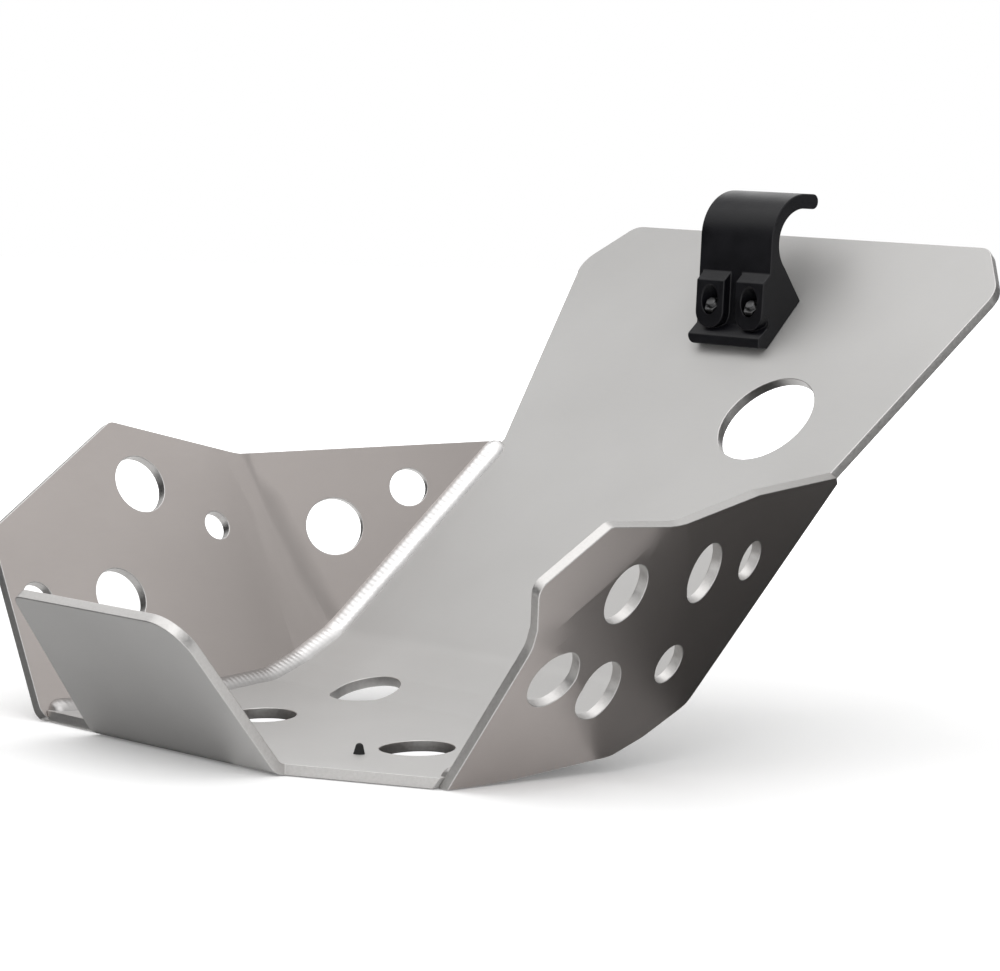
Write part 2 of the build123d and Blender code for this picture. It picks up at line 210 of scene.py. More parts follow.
class Shader(NodeBuilder):
    """Builder for the nodes of one material."""

    def __init__(self, name: str) -> None:
        """Start an empty material.

        Args:
            name: name of the material.
        """
        self.material = bpy.data.materials.new(name)
        self.material.use_nodes = True
        super().__init__(self.material.node_tree)
        self.surface = self.add("ShaderNodeOutputMaterial").inputs["Surface"]
        self.place = self.add("ShaderNodeTexCoord").outputs["Object"]

    def noise(self, scale: float, layers: float, stretch: Place = (1, 1, 1)) -> NodeSocket:
        """Add a noise pattern on the object's own coordinates.

        Args:
            scale: features for each metre.
            layers: number of finer layers.
            stretch: factor on the scale along each axis.

        Returns:
            The pattern's factor, from 0 to 1.
        """
        mapping = self.add("ShaderNodeMapping", Vector=self.place, Scale=stretch)
        noise = self.add(
            "ShaderNodeTexNoise",
            Vector=mapping.outputs["Vector"],
            Scale=scale,
            Detail=layers,
        )
        return noise.outputs["Fac"]

    def vary(self, pattern: NodeSocket, middle: float, play: float) -> NodeSocket:
        """Vary a number about its middle by a pattern.

        Args:
            pattern: the pattern.
            middle: the number's middle value.
            play: how far it departs from the middle.

        Returns:
            The varied number.
        """
        return self.ramp(pattern, NOISE_LOW, NOISE_HIGH, middle - play, middle + play)

    def blend(self, pattern: NodeSocket, low: Colour, high: Colour) -> NodeSocket:
        """Blend two colours by a pattern.

        Args:
            pattern: the pattern.
            low: colour where the pattern is low.
            high: colour where the pattern is high.

        Returns:
            The blended colour.
        """
        ramp = self.add("ShaderNodeValToRGB", Fac=pattern)
        first, last = ramp.color_ramp.elements
        first.position, last.position = NOISE_LOW, NOISE_HIGH
        first.color, last.color = (*low, 1), (*high, 1)
        return ramp.outputs["Color"]

    def bump(self, pattern: NodeSocket, depth: float) -> NodeSocket:
        """Raise the surface by a pattern.

        Args:
            pattern: the pattern.
            depth: height of the relief in metres.

        Returns:
            The bent normal.
        """
        node = self.add("ShaderNodeBump", Height=pattern, Distance=depth, Strength=1.0)
        return node.outputs["Normal"]

    def finish(self, **inputs: object) -> Material:
        """Close the material with a surface shader.

        Args:
            inputs: inputs of the surface shader, as for add.

        Returns:
            The finished material.
        """
        shader = self.add("ShaderNodeBsdfPrincipled", **inputs)
        self.fill(self.surface, shader.outputs["BSDF"])
        return self.material


@dataclass(frozen=True)
class SatinSheet:
    """Rolled aluminium sheet with a satin grain along one axis."""

    name: str
    colour: Colour
    cloud_colour: Colour
    grain: Grain
    roughness: float
    metal: float = 1.0
    roughness_play: float = 0.015
    grain_scale: float = 1100.0
    grain_stretch: float = 0.12
    grain_depth: float = 0.010 * MM
    pore_scale: float = 2600.0
    cloud_scale: float = 14.0

    def material(self) -> Material:
        """Make the sheet's material.

        Returns:
            The material.
        """
        shader = Shader(self.name)
        stretch = [1.0, 1.0, 1.0]
        stretch[self.grain.value] = self.grain_stretch
        clouds = shader.noise(self.cloud_scale, CLOUD_LAYERS)
        grain = shader.noise(self.grain_scale, GRAIN_LAYERS, tuple(stretch))
        pores = shader.noise(self.pore_scale, GRAIN_LAYERS)
        return shader.finish(
            Base_Color=shader.blend(clouds, self.colour, self.cloud_colour),
            Metallic=self.metal,
            Roughness=shader.vary(grain, self.roughness, self.roughness_play),
            Normal=shader.bump(shader.number("ADD", grain, pores), self.grain_depth),
        )


@dataclass(frozen=True)
class GrainedMetal:
    """Bare or plated metal with an even grain, as on a deburred edge or a fastener."""

    name: str
    colour: Colour
    shade: Colour
    roughness: float
    roughness_play: float
    grain_scale: float
    grain_depth: float

    def material(self) -> Material:
        """Make the metal's material.

        Returns:
            The material.
        """
        shader = Shader(self.name)
        grain = shader.noise(self.grain_scale, CLOUD_LAYERS)
        return shader.finish(
            Base_Color=shader.blend(grain, self.shade, self.colour),
            Metallic=1.0,
            Roughness=shader.vary(grain, self.roughness, self.roughness_play),
            Normal=shader.bump(grain, self.grain_depth),
        )


@dataclass(frozen=True)
class WeldMetal:
    """Bright weld metal with a faint haze, and painted shade that darkens it towards the rear end."""

    name: str = "weld_metal"
    bright: Colour = (0.76, 0.752, 0.748)
    haze: Colour = (0.67, 0.66, 0.655)
    # Painted shade: a darker colour at the bead's rear end, fading out between the two Y values below
    rear_painted_shade: Colour = (0.40, 0.39, 0.385)
    rear_painted_shade_until: float = -30 * MM
    rear_painted_shade_ends: float = 20 * MM
    roughness: float = 0.38
    roughness_play: float = 0.07
    haze_scale: float = 160.0
    pore_scale: float = 1900.0
    pore_depth: float = 0.012 * MM

    def material(self) -> Material:
        """Make the weld's material.

        Returns:
            The material.
        """
        shader = Shader(self.name)
        haze = shader.noise(self.haze_scale, CLOUD_LAYERS)
        pores = shader.noise(self.pore_scale, GRAIN_LAYERS)
        along = shader.add("ShaderNodeSeparateXYZ", Vector=shader.place).outputs["Y"]
        # Painted shade: the weld's colour goes dark towards the bead's rear end
        metal = shader.add(
            "ShaderNodeMixRGB",
            Fac=shader.ramp(along, self.rear_painted_shade_until, self.rear_painted_shade_ends, 0.0, 1.0),
            Color1=(*self.rear_painted_shade, 1),
            Color2=shader.blend(haze, self.haze, self.bright),
        )
        return shader.finish(
            Base_Color=metal.outputs["Color"],
            Metallic=1.0,
            Roughness=shader.vary(pores, self.roughness, self.roughness_play),
            Normal=shader.bump(pores, self.pore_depth),
        )


@dataclass(frozen=True)
class MouldedBlack:
    """Black moulded plastic or rubber with a spark-eroded grain."""

    name: str
    colour: Colour
    bloom: Colour
    roughness: float
    sheen: float = 0.25
    roughness_play: float = 0.06
    grain_scale: float = 1500.0
    grain_depth: float = 0.05 * MM
    bloom_scale: float = 60.0

    def material(self) -> Material:
        """Make the material of the plastic or rubber.

        Returns:
            The material.
        """
        shader = Shader(self.name)
        grain = shader.noise(self.grain_scale, CLOUD_LAYERS)
        bloom = shader.noise(self.bloom_scale, CLOUD_LAYERS)
        return shader.finish(
            Base_Color=shader.blend(bloom, self.colour, self.bloom),
            Roughness=shader.vary(bloom, self.roughness, self.roughness_play),
            Specular_IOR_Level=self.sheen,
            Normal=shader.bump(grain, self.grain_depth),
        )


Finish = SatinSheet | GrainedMetal | WeldMetal | MouldedBlack


@cache
def material_of(finish: Finish) -> Material:
    """Make the material of a finish, once for all its pieces."""
    return finish.material()


def merged_copy(node: str) -> BMesh:
    """Copy a solid's mesh, with its corners merged.

    Args:
        node: name of the solid.

    Returns:
        The copy.
    """
    shape = bmesh.new()
    shape.from_mesh(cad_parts[node].data)
    bmesh.ops.remove_doubles(shape, verts=shape.verts, dist=MERGE_DISTANCE)
    bmesh.ops.recalc_face_normals(shape, faces=shape.faces)
    for face in shape.faces:
        face.material_index = 0
    return shape


def join_flat_faces(shape: BMesh) -> None:
    """Join the triangles of each flat face of a mesh."""
    bmesh.ops.dissolve_limit(shape, angle_limit=FLAT_ANGLE, verts=shape.verts, edges=shape.edges)


def surface_of(node: str) -> BVHTree:
    """Make the search tree of a solid's surface.

    Args:
        node: name of the solid.

    Returns:
        The search tree.
    """
    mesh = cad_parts[node].data
    corners = [vertex.co for vertex in mesh.vertices]
    return BVHTree.FromPolygons(corners, [face.vertices[:] for face in mesh.polygons])


def settle_strays(shape: BMesh, node: str, reach: float) -> None:
    """Bring corners that a rounding threw off a solid back onto it, beside their neighbours.

    Args:
        shape: the rounded mesh.
        node: name of the solid.
        reach: distance from the solid at which a corner counts as a stray.
    """
    surface = surface_of(node)
    low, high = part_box(node)
    strays = []
    for corner in shape.verts:
        sides = zip(low, corner.co, high)
        outside = max(max(least - value, value - most) for least, value, most in sides)
        if outside > MERGE_DISTANCE or surface.find_nearest(corner.co)[3] > reach:
            strays.append(corner)
    while strays:
        settled = []
        for corner in strays:
            near = [edge.other_vert(corner) for edge in corner.link_edges]
            near = [other.co for other in near if other not in strays]
            if near:
                middle = sum(near, Vector()) / len(near)
                corner.co = surface.find_nearest(middle)[0]
                settled.append(corner)
        strays = [corner for corner in strays if corner not in settled]


def round_edges(shape: BMesh, node: str, radius: float, segments: int) -> list[BMFace]:
    """Round the sharp edges of a solid's mesh.

    Args:
        shape: the mesh.
        node: name of the solid.
        radius: radius of the rounding in metres.
        segments: facets across the rounding.

    Returns:
        The faces of the rounding.
    """
    inner_edges = [edge for edge in shape.edges if edge.is_manifold]
    made = bmesh.ops.bevel(
        shape,
        geom=[edge for edge in inner_edges if edge.calc_face_angle() > SHARP_ANGLE],
        offset=radius,
        offset_type="OFFSET",
        segments=segments,
        profile=0.5,
        affect="EDGES",
        clamp_overlap=False,
        loop_slide=False,
        material=-1,
    )
    settle_strays(shape, node, STRAY_SHARE * radius)
    return made["faces"]


def extrude_cap(shape: BMesh, cap: BMFace, keep: bool = False) -> BMFace:
    """Extrude a face on the spot.

    Args:
        shape: the mesh.
        cap: the face.
        keep: whether the old face stays as the other end.

    Returns:
        The new face.
    """
    made = bmesh.ops.extrude_face_region(shape, geom=[cap])
    if not keep:
        bmesh.ops.delete(shape, geom=[cap], context="FACES_ONLY")
    return next(item for item in made["geom"] if isinstance(item, BMFace))


def solids_of(shape: BMesh) -> list[list[BMVert]]:
    """Part a mesh into its separate solids.

    Args:
        shape: the mesh.

    Returns:
        The corners of each solid, from left to right.
    """
    left = set(shape.verts)
    solids = []
    while left:
        group = []
        waiting = [left.pop()]
        while waiting:
            corner = waiting.pop()
            group.append(corner)
            near = {edge.other_vert(corner) for edge in corner.link_edges} & left
            left -= near
            waiting.extend(near)
        solids.append(group)
    return sorted(solids, key=lambda corners: sum(corner.co.x for corner in corners) / len(corners))


def add_object(shape: BMesh, name: str, materials: list[Material]) -> Object:
    """Put a mesh into the scene, with its place in the mesh.

    Args:
        shape: the mesh, which is freed.
        name: name of the object.
        materials: materials in the order of the mesh's material numbers.

    Returns:
        The new object.
    """
    mesh = bpy.data.meshes.new(name)
    shape.to_mesh(mesh)
    shape.free()
    for material in materials:
        mesh.materials.append(material)
    thing = bpy.data.objects.new(name, mesh)
    bpy.context.scene.collection.objects.link(thing)
    return thing


@dataclass
class Piece:
    """A piece that stands for one solid, with finishes in the order of its material numbers."""

    name: str
    node: str
    slot: Slot
    finishes: tuple[Finish, ...]

    def build(self) -> BMesh:
        """Model the piece."""
        raise NotImplementedError

    def dress(self) -> Object:
        """Build the piece, give it its finishes and put it in the solid's place.

        Returns:
            The piece.
        """
        shape = self.build()
        for face in shape.faces:
            face.smooth = True
        for edge in shape.edges:
            edge.smooth = not edge.is_manifold or edge.calc_face_angle() < CREASE_ANGLE
        piece = add_object(shape, self.name, [material_of(finish) for finish in self.finishes])
        normals = piece.modifiers.new("face_normals", "WEIGHTED_NORMAL")
        normals.mode = "FACE_AREA"
        normals.keep_sharp = True
        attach(piece, BODY)
        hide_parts(self.node)
        LOG.info("%s: %d faces", self.name, len(piece.data.polygons))
        return piece


@dataclass
class FoldedSheet(Piece):
    """A folded sheet with rounded edges, in the finishes of its faces and of its cut edges."""

    edge_round: float = 0.4 * MM
    edge_facets: int = 3
    skin: float = 0.02 * MM
    deepest_sheet: float = 6.5 * MM
    bend_width: float = 0.0
    least_fold: float = math.radians(3)

    def mark_cut_faces(self, shape: BMesh) -> None:
        """Give the second finish to faces with much more than the sheet's thickness behind them.

        Args:
            shape: the mesh of the sheet.
        """
        surface = surface_of(self.node)
        for face in shape.faces:
            start = face.calc_center_median() - face.normal * self.skin
            _, _, _, depth = surface.ray_cast(start, -face.normal)
            if depth is None or depth > self.deepest_sheet:
                face.material_index = 1

    def bend_limits(self, shape: BMesh) -> list[tuple[Vector, Vector]]:
        """Find the lines on both sides of each fold where its soft bend ends.

        Args:
            shape: the mesh of the sheet, with its flat faces joined.

        Returns:
            A point and a normal of the plane through each line.
        """
        limits = {}
        for edge in shape.edges:
            if any(face.material_index for face in edge.link_faces):
                continue
            if not self.least_fold < edge.calc_face_angle() < SHARP_ANGLE:
                continue
            start, end = (corner.co for corner in edge.verts)
            for face in edge.link_faces:
                away = face.normal.cross(end - start).normalized()
                if away.dot(face.calc_center_median() - start) < 0:
                    away.negate()
                place = start + away * self.bend_width
                plane = (*(away * DIRECTION_STEPS), place.dot(away) / MM)
                limits[tuple(round(value) for value in plane)] = (place, away)
        return list(limits.values())

    def build(self) -> BMesh:
        """Round the sheet's edges, soften its folds and mark its edges and cut faces.

        Returns:
            The closed sheet.
        """
        shape = merged_copy(self.node)
        self.mark_cut_faces(shape)
        join_flat_faces(shape)
        limits = self.bend_limits(shape) if self.bend_width else []
        for face in round_edges(shape, self.node, self.edge_round, self.edge_facets):
            face.material_index = 1
        for place, away in limits:
            bmesh.ops.bisect_plane(
                shape,
                geom=[*shape.verts, *shape.edges, *shape.faces],
                dist=MERGE_DISTANCE,
                plane_co=place,
                plane_no=away,
            )
        return shape


@dataclass(frozen=True)
class SeamPoint:
    """A point of a seam, with the normals of the plate and of the wing there."""

    corner: Vector
    floor_normal: Vector
    wing_normal: Vector


@dataclass
class WeldBead(Piece):
    """A rippled bead in the inside corner between the plate and a wing."""

    wing: str
    side: Side
    plate: str = "centre_plate"
    plate_leg: float = 6.8 * MM
    wing_leg: float = 5.0 * MM
    waist: float = 0.78
    pitch: float = 2.7 * MM
    ripple: float = 0.15 * MM
    crescent: float = 0.55
    facets: int = 10
    steps: int = 6
    bury: float = 0.7 * MM
    bury_angle: float = math.radians(7)
    end_gap: float = 1.2 * MM
    end_share: float = 0.25
    stations: int = 160
    smoothing: int = 4
    clear_x: float = 90 * MM
    probe: float = 0.4 * MM

    def seam(self) -> list[SeamPoint]:
        """Find the inside corner of the seam on the solids.

        Returns:
            Points of the seam from the rear to the nose.
        """
        plate, wing = surface_of(self.plate), surface_of(self.wing)
        low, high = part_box(self.node)
        outwards = Vector((self.side.value, 0, 0))
        reach = high.y - low.y - 2 * self.end_gap
        points = []
        for station in range(self.stations + 1):
            y = low.y + self.end_gap + reach * station / self.stations
            above = Vector((self.side.value * self.clear_x, y, high.z + self.plate_leg))
            floor, floor_normal, _, _ = plate.ray_cast(above, -UP)
            wall, wing_normal, _, _ = wing.ray_cast(floor + UP * self.probe, outwards)
            if wall is not None:
                points.append(SeamPoint(Vector((wall.x, y, floor.z)), floor_normal, wing_normal))
        return points

    def smoothed(self, points: list[SeamPoint]) -> list[SeamPoint]:
        """Average the normals of a seam's points with those nearby.

        Args:
            points: points of the seam.

        Returns:
            The same points with smooth normals.
        """
        smooth = []
        for place, point in enumerate(points):
            near = points[max(place - self.smoothing, 0):place + self.smoothing + 1]
            floor_normal = sum((other.floor_normal for other in near), Vector()).normalized()
            wing_normal = sum((other.wing_normal for other in near), Vector()).normalized()
            smooth.append(SeamPoint(point.corner, floor_normal, wing_normal))
        return smooth

    def section(self, point: SeamPoint, way: Vector, along: float, size: float) -> list[Vector]:
        """Work out one cross-section of the bead.

        Args:
            point: the seam's corner.
            way: direction of the seam.
            along: length along the bead in ripples.
            size: share of the full size, for the tapered ends.

        Returns:
            The section's corners: the buried root, then the rounded face from plate to wing.
        """
        across = point.floor_normal.cross(way).normalized()
        if across.x * self.side.value > 0:
            across.negate()
        rising = point.wing_normal.cross(way).normalized()
        if rising.z < 0:
            rising.negate()
        corner_angle = across.angle(rising)
        square = (rising - across * math.cos(corner_angle)).normalized()
        corners = [point.corner - (point.floor_normal + point.wing_normal) * self.bury]
        for facet in range(self.facets + 1):
            share = facet / self.facets
            angle = -self.bury_angle + (corner_angle + 2 * self.bury_angle) * share
            middle = math.sin(math.pi * share)
            phase = along + self.crescent * middle
            ridge = abs(math.sin(math.pi * phase)) - 1
            leg = self.plate_leg + (self.wing_leg - self.plate_leg) * share
            radius = leg * (1 - (1 - self.waist) * middle) + self.ripple * ridge * middle
            direction = across * math.cos(angle) + square * math.sin(angle)
            corners.append(point.corner + direction * radius * size)
        return corners

    def end_size(self, to_end: float) -> float:
        """Round off the bead towards its ends.

        Args:
            to_end: distance to the nearer end in metres.

        Returns:
            Share of the full size.
        """
        rest = 1 - min(to_end / self.plate_leg, 1)
        return self.end_share + (1 - self.end_share) * math.sqrt(1 - rest ** 2)

    @staticmethod
    def partner(corner: BMVert, new_corners: set[BMVert]) -> BMVert:
        """Find the corner that an extrusion made from another corner."""
        ends = (edge.other_vert(corner) for edge in corner.link_edges)
        return next(end for end in ends if end in new_corners)

    def build(self) -> BMesh:
        """Sweep the rippled section along the seam.

        Returns:
            The closed bead.
        """
        seam = self.smoothed(self.seam())
        lengths = [0.0]
        for here, there in zip(seam, seam[1:]):
            lengths.append(lengths[-1] + (there.corner - here.corner).length)
        whole = lengths[-1]
        count = round(whole / self.pitch) * self.steps
        last = len(seam) - 1
        shape = bmesh.new()
        cap = None
        station = 0
        for step in range(count + 1):
            length = whole * step / count
            while station < last - 1 and lengths[station + 1] < length:
                station += 1
            here, there = seam[station], seam[station + 1]
            share = (length - lengths[station]) / (lengths[station + 1] - lengths[station])
            point = SeamPoint(
                here.corner.lerp(there.corner, share),
                here.floor_normal.lerp(there.floor_normal, share).normalized(),
                here.wing_normal.lerp(there.wing_normal, share).normalized(),
            )
            before, after = seam[max(station - 1, 0)], seam[min(station + 2, last)]
            way = (after.corner - before.corner).normalized()
            size = self.end_size(min(length, whole - length))
            section = self.section(point, way, step / self.steps, size)
            if cap is None:
                ring = [shape.verts.new(corner) for corner in section]
                cap = shape.faces.new(ring)
                continue
            cap = extrude_cap(shape, cap, keep=step == 1)
            ring = [self.partner(corner, set(cap.verts)) for corner in ring]
            for corner, place in zip(ring, section):
                corner.co = place
        bmesh.ops.recalc_face_normals(shape, faces=shape.faces)
        return shape


@dataclass
class RoundedSolid(Piece):
    """A solid with softened edges."""

    edge_round: float
    edge_facets: int

    def build(self) -> BMesh:
        """Round the solid's edges.

        Returns:
            The rounded solid.
        """
        shape = merged_copy(self.node)
        join_flat_faces(shape)
        round_edges(shape, self.node, self.edge_round, self.edge_facets)
        return shape


@dataclass
class FrameHook(RoundedSolid):
    """The moulded hook with softened edges."""

    edge_round: float = 0.6 * MM
    edge_facets: int = 3


@dataclass
class HookNuts(RoundedSolid):
    """Hexagon nuts with softened edges."""

    edge_round: float = 0.35 * MM
    edge_facets: int = 2


@dataclass
class HookScrews(Piece):
    """Countersunk screws with hexagon sockets and threaded ends."""

    facets: int = 48
    socket_across: float = 3.0 * MM
    socket_depth: float = 2.0 * MM
    thread_pitch: float = 0.8 * MM
    thread_length: float = 9.6 * MM
    thread_depth: float = 0.45 * MM
    chamfer: float = 0.6 * MM
    shank_radius: float = 2.5 * MM

    @staticmethod
    def grow(shape: BMesh, cap: BMFace, rise: float, radius: float) -> BMFace:
        """Extrude a round cap along the screw and set its radius.

        Args:
            shape: the mesh.
            cap: the round face.
            rise: length of the extrusion along local Z.
            radius: new radius of the cap.

        Returns:
            The new cap.
        """
        new_cap = extrude_cap(shape, cap)
        for corner in new_cap.verts:
            flat = Vector((corner.co.x, corner.co.y, 0)).normalized() * radius
            corner.co = flat + UP * (corner.co.z + rise)
        return new_cap

    def cut_socket(self, shape: BMesh, face: BMFace, head_radius: float) -> None:
        """Sink the hexagon socket into the head.

        Args:
            shape: the mesh of the screw.
            face: the flat face of the head.
            head_radius: radius of the head.
        """
        inner_radius = self.socket_across / 2
        bmesh.ops.inset_region(shape, faces=[face], thickness=head_radius - inner_radius)
        sixth = math.pi / 3
        for corner in face.verts:
            turn = math.atan2(corner.co.y, corner.co.x) % sixth - sixth / 2
            flat = Vector((corner.co.x, corner.co.y, 0)).normalized()
            corner.co = flat * (inner_radius / math.cos(turn))
        floor = extrude_cap(shape, face)
        bmesh.ops.translate(shape, verts=floor.verts, vec=UP * self.socket_depth)

    def screw(self, head_radius: float, length: float) -> BMesh:
        """Model one screw, with its head's face at zero and its end along +Z.

        Args:
            head_radius: radius of the countersunk head.
            length: whole length of the screw.

        Returns:
            The closed screw.
        """
        cone = head_radius - self.shank_radius
        shape = bmesh.new()
        bmesh.ops.create_cone(
            shape,
            cap_ends=True,
            segments=self.facets,
            radius1=head_radius,
            radius2=self.shank_radius,
            depth=cone,
            matrix=Matrix.Translation(UP * cone / 2),
        )
        head, cap = sorted(
            (face for face in shape.faces if len(face.verts) == self.facets),
            key=lambda face: face.calc_center_median().z,
        )
        turns = round(self.thread_length / self.thread_pitch)
        plain = length - cone - self.chamfer - turns * self.thread_pitch
        cap = self.grow(shape, cap, plain, self.shank_radius)
        for _ in range(turns):
            cap = self.grow(shape, cap, self.thread_pitch / 2, self.shank_radius - self.thread_depth)
            cap = self.grow(shape, cap, self.thread_pitch / 2, self.shank_radius)
        self.grow(shape, cap, self.chamfer, self.shank_radius - self.chamfer)
        self.cut_socket(shape, head, head_radius)
        bmesh.ops.recalc_face_normals(shape, faces=shape.faces)
        return shape

    def build(self) -> BMesh:
        """Model each screw where its solid lies.

        Returns:
            Both screws.
        """
        solid = merged_copy(self.node)
        join_flat_faces(solid)
        both = bmesh.new()
        for corners in solids_of(solid):
            faces = {face for corner in corners for face in corner.link_faces}
            head = max(faces, key=lambda face: face.calc_area())
            middle = sum((corner.co for corner in head.verts), Vector()) / len(head.verts)
            axis = -head.normal
            head_radius = max((corner.co - middle).length for corner in head.verts)
            length = max((corner.co - middle).dot(axis) for corner in corners)
            shape = self.screw(head_radius, length)
            turn = axis.to_track_quat("Z", "Y").to_matrix().to_4x4()
            shape.transform(Matrix.Translation(middle) @ turn)
            part = bpy.data.meshes.new(self.name)
            shape.to_mesh(part)
            shape.free()
            both.from_mesh(part)
            bpy.data.meshes.remove(part)
        solid.free()
        return both


@dataclass
class RubberStop(Piece):
    """The small domed stop on the floor."""

    facets: int = 40
    crown_share: float = 0.52
    dome: float = 1.1 * MM
    dome_facets: int = 5

    def build(self) -> BMesh:
        """Model the stop as a cone with a rounded crown.

        Returns:
            The closed stop.
        """
        low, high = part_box(self.node)
        radius = (high.x - low.x) / 2
        shape = bmesh.new()
        bmesh.ops.create_cone(
            shape,
            cap_ends=True,
            segments=self.facets,
            radius1=radius,
            radius2=radius * self.crown_share,
            depth=high.z - low.z,
            matrix=Matrix.Translation((low + high) / 2),
        )
        crown = max(shape.faces, key=lambda face: face.calc_center_median().z)
        bmesh.ops.bevel(
            shape,
            geom=list(crown.edges),
            offset=self.dome,
            offset_type="OFFSET",
            segments=self.dome_facets,
            profile=0.5,
            affect="EDGES",
            clamp_overlap=True,
            material=-1,
        )
        return shape


@dataclass(frozen=True)
class SoftBox:
    """A square white lamp that faces the object."""

    name: str
    place: Place
    width: float
    watts: float
    aim: Place = (0, 0, 0.08)

    def hang(self) -> None:
        """Add the lamp to the scene."""
        lamp = bpy.data.lights.new(self.name, "AREA")
        lamp.shape = "SQUARE"
        lamp.size = self.width
        lamp.energy = self.watts
        holder = bpy.data.objects.new(self.name, lamp)
        holder.location = self.place
        way = Vector(self.aim) - Vector(self.place)
        holder.rotation_euler = way.to_track_quat("-Z", "Y").to_euler()
        bpy.context.scene.collection.objects.link(holder)


@dataclass(frozen=True)
class DarkCard:
    """A flat dark card that only reflections see."""

    name: str
    corners: tuple[Place, ...]
    shade: float = 0.02

    def stand(self) -> None:
        """Add the card to the stage."""
        shape = bmesh.new()
        bmesh.ops.create_circle(shape, cap_ends=True, segments=len(self.corners), radius=1)
        for corner, place in zip(shape.verts, self.corners):
            corner.co = place
        grey = (self.shade, self.shade, self.shade, 1)
        card = add_object(shape, self.name, [Shader(self.name).finish(Base_Color=grey, Roughness=1.0)])
        card.visible_camera = False
        card.visible_diffuse = False
        card.visible_shadow = False
        card.visible_transmission = False


@dataclass(frozen=True)
class PhotoCamera:
    """The photograph's camera, with its angles in degrees."""

    name: str = "photo_camera"
    azimuth: float = 47.0
    elevation: float = 4.583
    roll: float = 2.771
    place: Place = (1.27164, -1.16737, 0.24916)
    focal_px: float = 3923.14
    frame_px: float = 1000.0
    sensor_mm: float = 36.0
    farthest: float = 50.0

    def stand(self) -> None:
        """Add the camera and make it the scene's own."""
        turn, tilt, roll = (math.radians(angle) for angle in (self.azimuth, self.elevation, self.roll))
        flat = math.cos(tilt)
        back = Vector((math.sin(turn) * flat, -math.cos(turn) * flat, math.sin(tilt)))
        right = Vector((math.cos(turn), math.sin(turn), 0))
        level = Matrix((right, back.cross(right), back)).transposed()
        rolled = level @ Matrix.Rotation(roll, 3, "Z")
        lens = bpy.data.cameras.new(self.name)
        lens.sensor_width = self.sensor_mm
        lens.lens = self.focal_px * self.sensor_mm / self.frame_px
        lens.clip_end = self.farthest
        holder = bpy.data.objects.new(self.name, lens)
        holder.matrix_world = Matrix.Translation(self.place) @ rolled.to_4x4()
        bpy.context.scene.collection.objects.link(holder)
        bpy.context.scene.camera = holder


